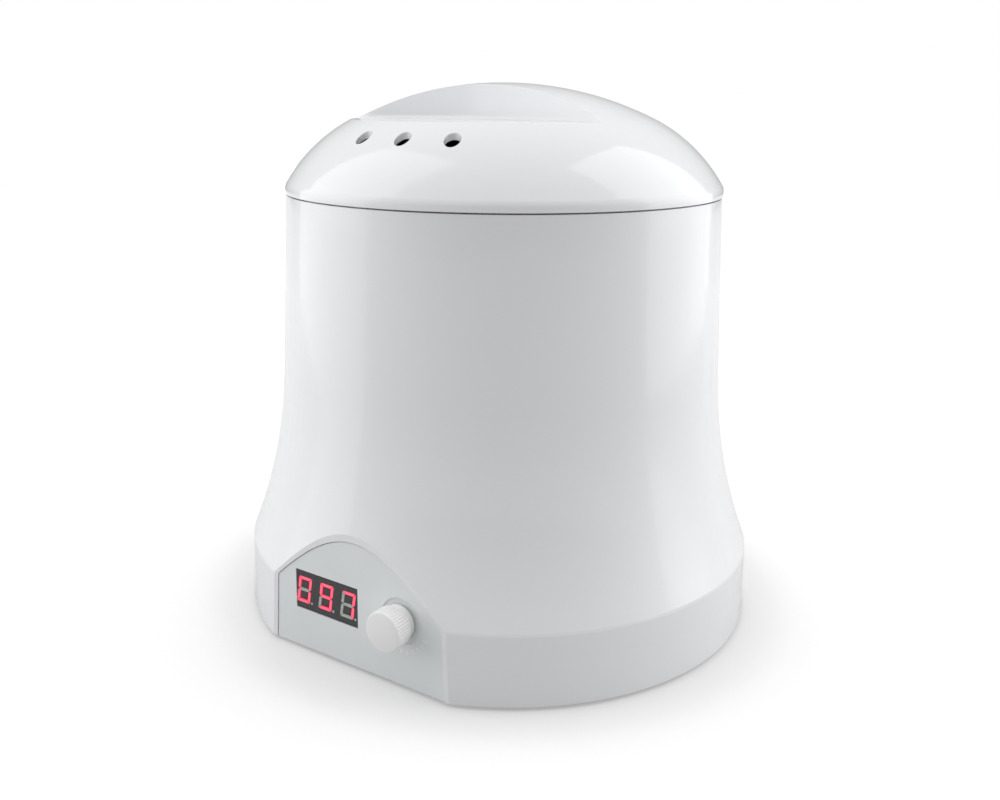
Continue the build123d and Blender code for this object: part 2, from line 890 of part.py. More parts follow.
def make_pot_ears():
    ears = []
    across = (-ear_width / 2, ear_width / 2)
    foot_x = ear_inner_x - ear_foot
    for side in (-1, 1):
        upright_x = sorted((side * ear_inner_x, side * ear_outer_x))
        upright = block(upright_x, across, (pot_flange_top, pot_flange_top + ear_height))
        upright = fillet(upright.edges().filter_by(Axis.X).group_by(Axis.Z)[-1], ear_corner)
        foot_reach = sorted((side * foot_x, side * ear_outer_x))
        ear = upright + block(foot_reach, across, (pot_flange_top, pot_flange_top + ear_thickness))
        ear -= bar_x(bail_wire_radius + bail_play, -far, far, 0, pivot_z)
        for x, y in rivet_places():
            ear -= cylinder_z(rivet_radius, 0, far, x, y)
        ears.append(ear)
    return ears


def make_ear_rivets():
    rivets = []
    top = pot_flange_top + ear_thickness
    for x, y in rivet_places():
        rivet = cylinder_z(rivet_radius, pot_flange_bottom, top, x, y)
        rivets.append(rivet + cylinder_z(rivet_head_radius, top, top + rivet_head_height, x, y))
    return rivets


def bail_line():
    """Centre line of the bail from one pivot end to the other, lying flat to the back."""
    tip = ear_outer_x + bail_tip
    right = [
        Line((tip, 0), (bail_radius + bail_bend, 0)),
        TangentArc((bail_radius + bail_bend, 0), (bail_radius, bail_bend), tangent=(-1, 0)),
        Line((bail_radius, bail_bend), (bail_radius, bail_straight)),
    ]
    left = [
        Line((-bail_radius, bail_straight), (-bail_radius, bail_bend)),
        TangentArc((-bail_radius, bail_bend), (-bail_radius - bail_bend, 0), tangent=(0, -1)),
        Line((-bail_radius - bail_bend, 0), (-tip, 0)),
    ]
    bow = ThreePointArc(
        (bail_radius, bail_straight), (0, bail_straight + bail_radius), (-bail_radius, bail_straight)
    )
    return Pos(0, 0, pivot_z) * (Curve() + right + [bow] + left)


def make_pot_handle():
    line = bail_line()
    start = line @ 0
    return sweep(Plane(origin=start, z_dir=line % 0) * Circle(bail_wire_radius), path=line)


def make_handle_grip():
    section = Pos(bail_radius, 0, 0) * (Circle(grip_radius) - Circle(bail_wire_radius))
    half = grip_angle / 2
    body = revolve(Plane.XZ * section, Axis.Z, grip_angle)
    return Pos(0, bail_straight, pivot_z) * Rot(0, 0, 90 - half) * body


def shoulder_radius():
    """Radius of the lid's shoulder, which runs on from the crown and into the rounded edge."""
    lean = crown_reach / crown_radius
    level = sqrt(1 - lean ** 2)
    across = crown_reach - lid_radius + edge_radius
    rise = lid_height - crown_radius * (1 - level) - lid_side_height
    facing = across * lean + rise * level
    return (across ** 2 + rise ** 2 - edge_radius ** 2) / (2 * (facing - edge_radius))


def crown(inset, bottom):
    """Solid of the lid's domed outside before the scoops, moved in by inset."""
    top = lid_top - inset
    reach = crown_reach * (crown_radius - inset) / crown_radius
    lean = reach / (crown_radius - inset)
    crown_end_z = top - (crown_radius - inset) * (1 - sqrt(1 - lean ** 2))
    shoulder = shoulder_radius() - inset
    centre_x = reach - shoulder * lean
    centre_z = crown_end_z - shoulder * sqrt(1 - lean ** 2)
    edge = edge_radius
    edge_x = lid_radius - inset - edge
    turn = (edge_x - centre_x) / (shoulder - edge)
    level = sqrt(1 - turn ** 2)
    edge_z = centre_z + (shoulder - edge) * level
    meet = (centre_x + shoulder * turn, centre_z + shoulder * level)
    down = (sqrt(1 - lean ** 2), -lean)
    side = (lid_radius - inset, edge_z)
    return turned(
        ThreePointArc((0, top), crown_point(inset, reach / 2), (reach, crown_end_z)),
        TangentArc((reach, crown_end_z), meet, tangent=down),
        TangentArc(meet, side, tangent=(level, -turn)),
        Line(side, (lid_radius - inset, bottom)),
        Line((lid_radius - inset, bottom), (0, bottom)),
        Line((0, bottom), (0, top)),
    )


def crown_point(inset, x):
    """Point of the lid's crown arc at this distance from the axis."""
    radius = crown_radius - inset
    return x, lid_top - inset - radius + sqrt(radius ** 2 - x ** 2)


def lid_form(inset, bottom):
    """Lid's outside with the ridge left between two scoops, moved in by inset."""
    form = crown(inset, bottom)
    floor = lid_top - scoop_floor_drop - inset
    disc = cylinder_z(ridge_plan_radius + inset, floor, lid_top + past)
    lower_edge = disc.edges().filter_by(GeomType.CIRCLE).sort_by(Axis.Z)[0]
    disc = fillet(lower_edge, scoop_corner_round + inset)
    for side in (-1, 1):
        form -= Pos(0, side * (ridge_half_width + ridge_plan_radius), 0) * disc
    return form


def make_lid():
    lid = lid_form(0, lid_bottom) - lid_form(lid_wall, lid_bottom - past)
    lip_outer = neck_radius_at(housing_top) - wall - lip_clearance
    lip_inner = lip_outer - lip_thickness
    lip_top = lid_bottom + lip_thickness
    lid += ring(lip_inner, lid_radius - lid_wall / 2, lid_bottom, lip_top)
    lid += ring(lip_inner, lip_outer, collar_top + seat_gap, lip_top)
    for step in (-1, 0, 1):
        x, y = on_circle(vent_circle, vent_row_angle + step * vent_step)
        lid -= cylinder_z(vent_radius, lip_top, lid_top, x, y)
    return lid


def make_power_inlet():
    start = inlet_face - inlet_flange_thickness
    inlet = inlet_slab(inlet_flange_width / 2, inlet_flange_height / 2, start, inlet_face)
    inlet = fillet(inlet.edges().filter_by(Axis.Y), inlet_corner)
    inlet += inlet_slab(inlet_body_width / 2, inlet_body_height / 2, inlet_back, start)
    socket = Plane.XZ * SlotOverall(socket_width, socket_height)
    inlet -= Pos(0, inlet_face, inlet_height) * extrude(socket, amount=socket_depth)
    for x in (-inlet_pin_spacing / 2, inlet_pin_spacing / 2):
        inlet -= cylinder_y(inlet_pin_radius, inlet_back - past, inlet_face, x, inlet_height)
    return inlet


def make_inlet_pins():
    pins = []
    tip = inlet_face - socket_depth + inlet_pin_length
    for x in (-inlet_pin_spacing / 2, inlet_pin_spacing / 2):
        pin = cylinder_y(inlet_pin_radius, inlet_back - inlet_tab_length, tip, x, inlet_height)
        end = pin.edges().filter_by(GeomType.CIRCLE).sort_by(Axis.Y)[-1]
        pins.append(fillet(end, inlet_pin_radius / 2))
    return pins


def make_power_board():
    board = block(
        (-power_board_length / 2, power_board_length / 2),
        (power_board_centre - power_board_width / 2, power_board_centre + power_board_width / 2),
        (power_board_bottom, power_board_top),
    )
    for x, y in power_post_places():
        board -= cylinder_z(small_screw_radius + fit_gap, 0, power_board_top + past, x, y)
    return board


def make_power_board_screws():
    screws = []
    tip = power_board_top - small_screw_length
    head_top = power_board_top + small_head_height
    for x, y in power_post_places():
        head = cylinder_z(small_head_radius, power_board_top, head_top, x, y)
        screws.append(head + cylinder_z(small_screw_radius, tip, power_board_top, x, y))
    return screws


def on_power_board(size, place, lift=0):
    """Block of this size standing on the power board."""
    (x, y), (width, depth, height) = place, size
    return Pos(x, y, power_board_top + lift + height / 2) * Box(width, depth, height)


def core_leg():
    """Middle leg of the core, which carries the winding."""
    return on_power_board((core_leg_width, core_size[1], core_size[2]), transformer_place)


def make_transformer_core():
    return on_power_board(core_size, transformer_place) - transformer_coil_block() + core_leg()


def transformer_coil_block():
    """Space of the winding in the core's windows."""
    return on_power_board(coil_size, transformer_place, (core_size[2] - coil_size[2]) / 2)


def make_transformer_coil():
    return transformer_coil_block() - core_leg()


def make_relay():
    relay = on_power_board(relay_size, relay_place)
    return chamfer(relay.edges().group_by(Axis.Z)[-1], relay_chamfer)


def make_supply_capacitor():
    x, y = capacitor_place
    can = cylinder_z(capacitor_radius, power_board_top, power_board_top + capacitor_length, x, y)
    return fillet(can.edges().filter_by(GeomType.CIRCLE).sort_by(Axis.Z)[-1], capacitor_round)


def make_terminal_block():
    middle = block_back - terminal_block_size[1] / 2
    body = on_power_board(terminal_block_size, (0, middle))
    inlet_lead_x = inlet_pin_spacing / 2
    for x in (-terminal_offset, -inlet_lead_x, inlet_lead_x, terminal_offset):
        body -= cylinder_y(lead_radius, middle, block_back + past, x, mouth_height)
        body -= cylinder_z(lead_radius, mouth_height + 2 * lead_radius, far, x, middle)
    return body


def lead(points, radius=lead_radius):
    """Wire or cable along straight runs with rounded turns."""
    line = FilletPolyline(*points, radius=lead_bend)
    return sweep(Plane(origin=line @ 0, z_dir=line % 0) * Circle(radius), path=line)


def make_heater_leads():
    x = terminal_offset
    y = terminal_root() + terminal_thickness + lead_radius
    start_y = block_back - lead_grip
    fuse_end = probe_length / 2
    low = probe_z - fuse_lead_drop
    straight_to_band = [(-x, start_y, mouth_height), (-x, y, mouth_height), (-x, y, band_bottom)]
    block_to_fuse = [
        (x, start_y, mouth_height),
        (x, block_back + fuse_lead_run, mouth_height),
        (x, block_back + fuse_lead_run, low),
        (x, -fuse_end - fuse_lead_run, low),
        (x, -fuse_end - fuse_lead_run, probe_z),
        (x, -fuse_end, probe_z),
    ]
    fuse_to_band = [(x, fuse_end, probe_z), (x, y, probe_z), (x, y, band_bottom)]
    return [lead(points) for points in (straight_to_band, block_to_fuse, fuse_to_band)]


def make_mains_leads():
    leads = []
    start_y = inlet_back - inlet_tab_length
    for x in (-inlet_pin_spacing / 2, inlet_pin_spacing / 2):
        points = [
            (x, start_y, inlet_height),
            (x, start_y - mains_lead_run, inlet_height),
            (x, block_back + mains_lead_run, mouth_height),
            (x, block_back - lead_grip, mouth_height),
        ]
        leads.append(lead(points))
    return leads


def make_sensor_lead():
    x = -probe_spacing / 2
    low = control_height + front_board_height / 4
    turn = board_screw_seat + sensor_lead_run
    points = [(-probe_length / 2, probe_z), (turn, probe_z), (turn, low), (board_screw_seat, low)]
    return lead([(x, y, z) for y, z in points])


def make_signal_cable():
    high = power_board_top + cable_rise
    end = power_board_centre - power_board_width / 2 + cable_inset
    points = [(board_screw_seat, high), (end, high), (end, power_board_top)]
    return lead([(cable_offset, y, z) for y, z in points], cable_radius)


parts = {
    "housing": make_housing,
    "base_plate": make_base_plate,
    "base_screws": make_base_screws,
    "rubber_feet": make_rubber_feet,
    "control_panel": make_control_panel,
    "panel_screws": make_panel_screws,
    "display_module": make_display_module,
    "lit_segments": make_lit_segments,
    "unlit_segments": make_unlit_segments,
    "display_pins": make_display_pins,
    "control_board": make_control_board,
    "board_screws": make_board_screws,
    "potentiometer": make_potentiometer,
    "potentiometer_nut": make_potentiometer_nut,
    "potentiometer_shaft": make_potentiometer_shaft,
    "knob": make_knob,
    "rim_collar": make_rim_collar,
    "heating_well": make_heating_well,
    "flange_screws": make_flange_screws,
    "heating_band": make_heating_band,
    "band_screw": make_band_screw,
    "band_nut": make_band_nut,
    "heater_terminals": make_heater_terminals,
    "insulation_sleeve": make_insulation_sleeve,
    "temperature_sensor": make_temperature_sensor,
    "thermal_fuse": make_thermal_fuse,
    "retaining_clips": make_retaining_clips,
    "clip_screws": make_clip_screws,
    "pot": make_pot,
    "pot_ears": make_pot_ears,
    "ear_rivets": make_ear_rivets,
    "pot_handle": make_pot_handle,
    "handle_grip": make_handle_grip,
    "lid": make_lid,
    "power_inlet": make_power_inlet,
    "inlet_pins": make_inlet_pins,
    "power_board": make_power_board,
    "power_board_screws": make_power_board_screws,
    "transformer_core": make_transformer_core,
    "transformer_coil": make_transformer_coil,
    "relay": make_relay,
    "supply_capacitor": make_supply_capacitor,
    "terminal_block": make_terminal_block,
    "heater_leads": make_heater_leads,
    "mains_leads": make_mains_leads,
    "sensor_lead": make_sensor_lead,
    "signal_cable": make_signal_cable,
}

os.makedirs("parts", exist_ok=True)
for name, make in parts.items():
    made = make()
    solids = made if isinstance(made, list) else [made]
    shape = Compound(children=[solid for item in solids for solid in item.solids()])
    export_step(shape, f"parts/{name}.step")
    print(name, len(shape.solids()), round(shape.volume / 1000, 2))
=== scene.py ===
from math import atan2, copysign, cos, radians, sin, sqrt, tan

import bmesh
import bpy
from mathutils import Matrix, Vector


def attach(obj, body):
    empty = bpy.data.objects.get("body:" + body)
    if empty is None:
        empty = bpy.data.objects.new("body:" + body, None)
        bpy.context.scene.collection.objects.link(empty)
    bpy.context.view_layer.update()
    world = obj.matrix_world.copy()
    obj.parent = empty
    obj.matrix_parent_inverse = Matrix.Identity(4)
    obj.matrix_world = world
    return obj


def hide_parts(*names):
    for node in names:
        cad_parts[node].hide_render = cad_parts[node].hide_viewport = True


# Wax warmer with a lift-off lid, a removable pot and a control panel at the front.
# Metres. The origin is the centre of the round base on the table, +Z is up and -Y is
# the flat front with the panel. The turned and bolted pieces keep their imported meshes.

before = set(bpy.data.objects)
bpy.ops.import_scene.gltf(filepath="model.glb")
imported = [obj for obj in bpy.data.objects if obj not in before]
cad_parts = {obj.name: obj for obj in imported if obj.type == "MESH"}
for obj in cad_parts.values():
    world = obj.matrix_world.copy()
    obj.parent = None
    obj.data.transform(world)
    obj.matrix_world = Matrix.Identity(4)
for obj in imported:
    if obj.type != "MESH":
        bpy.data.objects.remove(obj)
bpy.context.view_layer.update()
mm = 0.001


# Table and light tent.
# A white table in a white tent that is brightest overhead and at its two side walls,
# with a large soft lamp at either side. The side towards the camera stays darker.
class Mix:
    """A tree of nodes being put together."""

    def __init__(self, owner):
        owner.use_nodes = True
        self.tree = owner.node_tree

    def add(self, kind, inputs, **settings):
        """A node of this kind; inputs are numbers, colours or other nodes' sockets."""
        node = self.tree.nodes.new("ShaderNode" + kind)
        for name, value in settings.items():
            setattr(node, name, value)
        for name, value in inputs.items():
            if isinstance(value, bpy.types.NodeSocket):
                self.tree.links.new(value, node.inputs[name])
            else:
                node.inputs[name].default_value = value
        return node

    def math(self, operation, *inputs):
        """The result of one sum on numbers or sockets."""
        return self.add("Math", dict(enumerate(inputs)), operation=operation).outputs[0]

    def backdrop_share(self, mirrored):
        """How much of the plain white backdrop a ray sees: all, or this share in a gloss."""
        rays = self.add("LightPath", {}).outputs
        in_gloss = self.math("MULTIPLY", rays["Is Glossy Ray"], mirrored)
        share = self.math("ADD", rays["Is Camera Ray"], in_gloss)
        return self.math("ADD", share, rays["Is Transmission Ray"])


class Finish(Mix):
    """A finish being mixed: one shader, and patterns that stay fixed to the piece."""

    def __init__(self, name, **sockets):
        self.material = bpy.data.materials.new(name)
        super().__init__(self.material)
        self.shader = self.tree.nodes["Principled BSDF"]
        for socket, value in sockets.items():
            self.shader.inputs[socket.replace("_", " ")].default_value = value

    def place(self, stretch=(1, 1, 1)):
        """The piece's own coordinates, stretched."""
        spot = self.add("TexCoord", {}).outputs["Object"]
        return self.add("Mapping", {"Vector": spot, "Scale": stretch}).outputs[0]

    def grain(self, per_metre, stretch=(1, 1, 1), detail=2.0):
        """Noise with this many grains a metre."""
        pattern = {"Vector": self.place(stretch), "Scale": per_metre, "Detail": detail}
        return self.add("TexNoise", pattern).outputs["Fac"]

    def tint(self, pattern, low, high, start=0.3, end=0.7):
        """Base colour from low to high, by a pattern."""
        ramp = self.add("ValToRGB", {"Fac": pattern})
        for stop, spot, colour in zip(ramp.color_ramp.elements, (start, end), (low, high)):
            stop.position = spot
            stop.color = (*colour, 1)
        self.tree.links.new(ramp.outputs["Color"], self.shader.inputs["Base Color"])
        return ramp.outputs["Color"]

    def gloss(self, pattern, low, high):
        """Roughness from low to high, by a pattern."""
        grain_ends = {"Value": pattern, "From Min": 0.3, "From Max": 0.7}
        spread = self.add("MapRange", {**grain_ends, "To Min": low, "To Max": high})
        self.tree.links.new(spread.outputs[0], self.shader.inputs["Roughness"])

    def relief(self, pattern, depth):
        """Bumps of this depth, by a pattern."""
        bump = self.add("Bump", {"Height": pattern, "Distance": depth})
        self.tree.links.new(bump.outputs["Normal"], self.shader.inputs["Normal"])


camera_place = (0.22658, -0.36134, 0.2069)
camera_turn = (1.3392947, -0.0036986, 0.6134480)
camera_shift = (0.0536, -0.0577)
focal_length = 37.44

eye = bpy.data.objects.new("camera", bpy.data.cameras.new("camera"))
eye.location = camera_place
eye.rotation_euler = camera_turn
eye.data.lens = focal_length
eye.data.sensor_width = 36.0
eye.data.shift_x, eye.data.shift_y = camera_shift
eye.data.clip_start = 0.01
bpy.context.scene.collection.objects.link(eye)
bpy.context.scene.camera = eye
bpy.context.scene.view_settings.view_transform = "Standard"


def standing_box(name, side, away, along, power):
    """Soft box standing on the table, square to a line from the object to this side.

    The side is in degrees to the right of the camera, and along shifts the box in its
    own plane, to the right as the object sees it.
    """
    turn = radians(side) + camera_turn[2]
    outward = Vector((sin(turn), -cos(turn), 0))
    sideways = Vector((cos(turn), sin(turn), 0))
    lamp = bpy.data.objects.new(name, bpy.data.lights.new(name, "AREA"))
    lamp.location = away * outward + along * sideways + Vector((0, 0, box_height / 2))
    lamp.rotation_euler = outward.to_track_quat("Z", "Y").to_euler()
    lamp.data.shape = "RECTANGLE"
    lamp.data.size = box_width
    lamp.data.size_y = box_height
    lamp.data.energy = power
    bpy.context.scene.collection.objects.link(lamp)


box_width, box_height = 0.85, 1.4
standing_box("left_soft_box", -57.0, 0.36, -0.477, 2.8)
standing_box("right_soft_box", 67.0, 0.53, 0.43, 3.7)

table_size = 4.0
table_white = 0.5
# The table glows for the camera and in glosses, more weakly close to the object. This paints shade
# round the base on top of the lamps' own shadow there.
painted_shade_lift_by_reach = ((0.108, 0.32), (0.116, 0.36), (0.127, 0.45), (0.14, 0.48), (0.3, 0.6), (0.8, 1.0))
mirrored = 0.4
tent_top = 1.15
tent_side, side_fall = 1.7, 6.0

table_cloth = Finish("table_white", Roughness=0.6)
table_cloth.tint(table_cloth.grain(300.0), (table_white,) * 3, (table_white * 1.01,) * 3)
# Glow by distance from the object, weakest at the base: painted shade.
reach = table_cloth.add("VectorMath", {0: table_cloth.place()}, operation="LENGTH").outputs["Value"]
painted_shade_fade = table_cloth.add("ValToRGB", {"Fac": reach})
for spot, share in painted_shade_lift_by_reach:
    painted_shade_fade.color_ramp.elements.new(spot).color = (share, share, share, 1)
shaded_lift = table_cloth.math("MULTIPLY", table_cloth.backdrop_share(mirrored), painted_shade_fade.outputs["Color"])
glow = table_cloth.add("Emission", {"Strength": shaded_lift})
both = table_cloth.add("AddShader", {0: table_cloth.shader.outputs[0], 1: glow.outputs[0]})
surface = table_cloth.tree.nodes["Material Output"].inputs["Surface"]
table_cloth.tree.links.new(both.outputs[0], surface)

mesh = bmesh.new()
bmesh.ops.create_grid(mesh, x_segments=8, y_segments=8, size=table_size / 2)
table = bpy.data.objects.new("table", bpy.data.meshes.new("table"))
mesh.to_mesh(table.data)
mesh.free()
table.data.materials.append(table_cloth.material)
bpy.context.scene.collection.objects.link(table)

tent = bpy.data.worlds.new("tent")
bpy.context.scene.world = tent
light = Mix(tent)
toward = light.add("TexCoord", {}).outputs["Generated"]
upward = light.add("VectorMath", {0: toward, 1: (0, 0, 1)}, operation="DOT_PRODUCT")
overhead = light.math("MAXIMUM", upward.outputs["Value"], 0.0)
to_the_right = (cos(camera_turn[2]), sin(camera_turn[2]), 0)
sideways = light.add("VectorMath", {0: toward, 1: to_the_right}, operation="DOT_PRODUCT")
aside = light.math("POWER", light.math("ABSOLUTE", sideways.outputs["Value"]), side_fall)
level = light.math("MULTIPLY_ADD", aside, tent_side, light.math("MULTIPLY", overhead, tent_top))
inside = light.add("Background", {"Strength": level})
outside = light.add("Background", {"Strength": 1.0})
for sheet in (inside, outside):
    sheet.inputs["Color"].default_value = (1, 1, 1, 1)
sheets = {1: inside.outputs[0], 2: outside.outputs[0]}
wall = light.add("MixShader", {0: light.backdrop_share(mirrored), **sheets})
light.tree.links.new(wall.outputs[0], light.tree.nodes["World Output"].inputs["Surface"])


# Housing and base plate.
# The housing is one bell-shaped moulding of polished white ABS. The closed plate under
# it is the same plastic, and four screws hold it from below.
def coat(finish, *names):
    """Puts a finish on CAD pieces, which keep their meshes."""
    for name in names:
        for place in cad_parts[name].material_slots:
            place.material = finish.material


def moulded_abs(name, gloss, **sockets):
    """White ABS as it comes from its mould, with this range of roughness."""
    finish = Finish(name, Specular_IOR_Level=0.5, **sockets)
    flow = finish.grain(14.0, stretch=(1, 1, 0.35), detail=1.0)
    finish.tint(flow, (0.83, 0.838, 0.856), (0.85, 0.857, 0.874))
    finish.gloss(finish.grain(160.0, detail=3.0), *gloss)
    finish.relief(finish.grain(45.0, detail=1.0), 0.012 * mm)
    return finish


white_abs = moulded_abs("white_abs", (0.19, 0.26), Coat_Weight=0.5, Coat_Roughness=0.04)
coat(white_abs, "housing", "base_plate")

foot_rubber = Finish("foot_rubber", Specular_IOR_Level=0.35)
foot_rubber.tint(foot_rubber.grain(900.0), (0.028, 0.028, 0.03), (0.045, 0.045, 0.046))
foot_rubber.gloss(foot_rubber.grain(2400.0), 0.6, 0.8)
foot_rubber.relief(foot_rubber.grain(2400.0), 0.03 * mm)
coat(foot_rubber, "rubber_feet")

zinc_steel = Finish("zinc_steel", Metallic=1.0)
zinc_steel.tint(zinc_steel.grain(1200.0), (0.52, 0.53, 0.55), (0.66, 0.67, 0.68))
zinc_steel.gloss(zinc_steel.grain(2500.0), 0.28, 0.4)
zinc_steel.relief(zinc_steel.grain(3000.0), 0.01 * mm)
screws = ("base_screws", "panel_screws", "board_screws", "flange_screws", "clip_screws")
coat(zinc_steel, *screws, "power_board_screws", "band_screw", "band_nut")
coat(zinc_steel, "potentiometer", "potentiometer_nut")


# Control panel.
# A flat arched moulding in light bluish grey, let into the flat front inside the
# housing's white lip. A plain scale of short white marks is printed round the dish.
panel_grey = Finish("panel_grey", Specular_IOR_Level=0.4)
panel_grey.tint(panel_grey.grain(30.0), (0.78, 0.81, 0.82), (0.8, 0.83, 0.84))
panel_grey.gloss(panel_grey.grain(400.0), 0.42, 0.52)
panel_grey.relief(panel_grey.grain(2500.0), 0.012 * mm)
coat(panel_grey, "control_panel")

panel_front = -96.0 * mm
knob_place = Vector((20.8, 0.0, 26.5)) * mm
scale_circle = 11.6 * mm
mark_size = (0.6 * mm, 0.04 * mm, 1.8 * mm)
mark_count, mark_pitch, lowest_mark = 13, 13.0, 12.0

print_white = Finish("print_white", Specular_IOR_Level=0.3)
print_white.tint(print_white.grain(3000.0), (0.92, 0.93, 0.92), (0.95, 0.96, 0.95))
print_white.gloss(print_white.grain(2000.0), 0.5, 0.65)

mesh = bmesh.new()
for step in range(mark_count):
    mark = bmesh.ops.create_cube(mesh, size=1.0)["verts"]
    bmesh.ops.scale(mesh, vec=mark_size, verts=mark)
    bmesh.ops.translate(mesh, vec=(0, 0, -scale_circle), verts=mark)
    turn = Matrix.Rotation(radians(lowest_mark + (step - mark_count // 2) * mark_pitch), 3, "Y")
    bmesh.ops.rotate(mesh, matrix=turn, verts=mark)
bmesh.ops.translate(mesh, vec=knob_place + Vector((0, panel_front, 0)), verts=mesh.verts)
scale_marks = bpy.data.objects.new("scale_marks", bpy.data.meshes.new("scale_marks"))
mesh.to_mesh(scale_marks.data)
mesh.free()
scale_marks.data.materials.append(print_white.material)
bpy.context.scene.collection.objects.link(scale_marks)
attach(scale_marks, "base")


# Display.
# A three-digit light-emitting module: a black block with pale diffuser bars set in its
# face. Those of the digits shown glow pink, with deeper red towards their edges.
display_black = Finish("display_black", Specular_IOR_Level=0.35)
display_black.tint(display_black.grain(500.0), (0.05, 0.05, 0.054), (0.06, 0.06, 0.064))
display_black.gloss(display_black.grain(1500.0), 0.4, 0.5)
coat(display_black, "display_module")

digit_height = 10.6 * mm
digit_width = 6.4 * mm
digit_pitch = 10.7 * mm
digit_lean = tan(radians(8.0))
middle_digit = Vector((-14.6, -95.73, 25.0)) * mm
bar_half = 0.62 * mm
bar_gap = 0.1 * mm
mitre_reach = 1.75
bar_depth = 0.3 * mm
core_inset = 0.26 * mm
core_rise = 0.03 * mm
point_radius = 0.5 * mm
point_offset = 0.55 * mm
shown_digits = ("abcdef", "abcdfg", "abc")
bar_places = {
    "a": (0, 1, False), "b": (1, 0.5, True), "c": (1, -0.5, True), "d": (0, -1, False),
    "e": (-1, -0.5, True), "f": (-1, 0.5, True), "g": (0, 0, False),
}


def diffuser(mesh, corners, turn, middle):
    """Turns a flat outline into a bar with a raised core and moves it to its place."""
    core = corners[0].link_faces[0]
    inset = bmesh.ops.inset_individual(mesh, faces=[core], thickness=core_inset, depth=core_rise)
    slope = inset["faces"]
    for corner in core.verts:
        corner[mesh.verts.layers.float["core"]] = 1.0
    rim = {edge for face in slope for edge in face.edges if edge.is_boundary}
    grown = bmesh.ops.extrude_edge_only(mesh, edges=list(rim))["geom"]
    back = {part for part in grown if isinstance(part, bmesh.types.BMVert)}
    bmesh.ops.translate(mesh, vec=(0, 0, -bar_depth), verts=list(back))
    back_rim = {edge for corner in back for edge in corner.link_edges if set(edge.verts) <= back}
    bmesh.ops.holes_fill(mesh, edges=list(back_rim))
    piece = list(back | {corner for face in slope for corner in face.verts})
    bmesh.ops.rotate(mesh, matrix=Matrix.Rotation(turn, 3, "Z"), verts=piece)
    bmesh.ops.translate(mesh, vec=middle, verts=piece)


def bar(mesh, digit, name):
    """One bar of a digit, pointed at its ends and mitred at the digit's corners."""
    across, up, upright = bar_places[name]
    reach = Vector((digit_width / 2 - bar_half, digit_height / 2 - bar_half, 0))
    length = (reach.y if upright else 2 * reach.x) - 2 * bar_gap
    corners = bmesh.ops.create_circle(mesh, cap_ends=True, segments=6, radius=2 * bar_half)["verts"]
    outer = across if upright else up
    for corner in corners:
        corner.co.x /= sqrt(3)
        corner.co.y += copysign(length / 2 - 2 * bar_half, corner.co.y)
        at_corner = not upright or corner.co.y * up > 0
        if corner.co.x * outer > bar_half / 2 and at_corner:
            corner.co.y += copysign(mitre_reach * bar_half, corner.co.y)
    middle = Vector((digit * digit_pitch + across * reach.x, up * reach.y, 0))
    diffuser(mesh, corners, 0.0 if upright else radians(90), middle)


lit_bars, unlit_bars = bmesh.new(), bmesh.new()
for mesh in (lit_bars, unlit_bars):
    mesh.verts.layers.float.new("core")
for digit, lit in zip((-1, 0, 1), shown_digits):
    for name in bar_places:
        bar(lit_bars if name in lit else unlit_bars, digit, name)
    point = bmesh.ops.create_circle(unlit_bars, cap_ends=True, segments=20, radius=point_radius)
    low = point_radius - digit_height / 2
    right = digit * digit_pitch + digit_width / 2 + point_offset + point_radius
    leant = right - (low + digit_height / 2) * digit_lean
    diffuser(unlit_bars, point["verts"], 0.0, Vector((leant, low, 0)))

lit_segment = Finish("lit_segment", Roughness=0.35, Emission_Strength=1.0)
core = lit_segment.add("Attribute", {}, attribute_name="core").outputs["Fac"]
glow = lit_segment.tint(core, (0.66, 0.004, 0.03), (0.9, 0.085, 0.15), 0.05, 0.75)
lit_segment.tree.links.new(glow, lit_segment.shader.inputs["Emission Color"])

unlit_segment = Finish("unlit_segment")
unlit_segment.tint(unlit_segment.grain(1500.0), (0.36, 0.39, 0.36), (0.54, 0.57, 0.53))
unlit_segment.gloss(unlit_segment.grain(900.0), 0.4, 0.55)

slanted = Matrix(((1, digit_lean, 0), (0, 1, 0), (0, 0, 1))).to_4x4()
stood_up = Matrix.Translation(middle_digit) @ Matrix.Rotation(radians(90), 4, "X") @ slanted
for name, mesh, finish, node in (
    ("lit_bars", lit_bars, lit_segment, "lit_segments"),
    ("unlit_bars", unlit_bars, unlit_segment, "unlit_segments"),
):
    bmesh.ops.transform(mesh, matrix=stood_up, verts=mesh.verts)
    bmesh.ops.recalc_face_normals(mesh, faces=mesh.faces)
    bars = bpy.data.objects.new(name, bpy.data.meshes.new(name))
    mesh.to_mesh(bars.data)
    mesh.free()
    bars.data.materials.append(finish.material)
    bpy.context.scene.collection.objects.link(bars)
    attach(bars, "base")
    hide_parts(node)


# Knob.
# A moulding in warm off-white plastic with a domed face and fine straight flutes, pushed
# by its hub on the aluminium shaft of the control behind the panel.
knob_back = -99.5 * mm
knob_radius = 7.5 * mm
knob_length = 7.6 * mm
knob_dome = 45.0 * mm
face_radius = 7.15 * mm
flute_count = 44
flute_depth = 0.36 * mm
hub_radius, hub_bore, hub_length = 6.4 * mm, 5.5 * mm, 3.0 * mm
shaft_radius, shaft_grip = 3.0 * mm, 6.6 * mm

mesh = bmesh.new()
bmesh.ops.create_circle(mesh, segments=8 * flute_count, radius=knob_radius - 0.35 * mm)
back_rim = mesh.edges[:]


def next_hoop(rim, level, radius, flute=0.0):
    """Grows the knob's skin from one hoop of edges to the next, fluted by this share."""
    grown = bmesh.ops.extrude_edge_only(mesh, edges=rim)["geom"]
    corners = {part for part in grown if isinstance(part, bmesh.types.BMVert)}
    for corner in corners:
        around = atan2(corner.co.y, corner.co.x)
        wave = 0.5 - 0.5 * cos(flute_count * around)
        size = radius - flute * flute_depth * wave
        corner.co = Vector((size * cos(around), size * sin(around), level))
    return [edge for corner in corners for edge in corner.link_edges if set(edge.verts) <= corners]


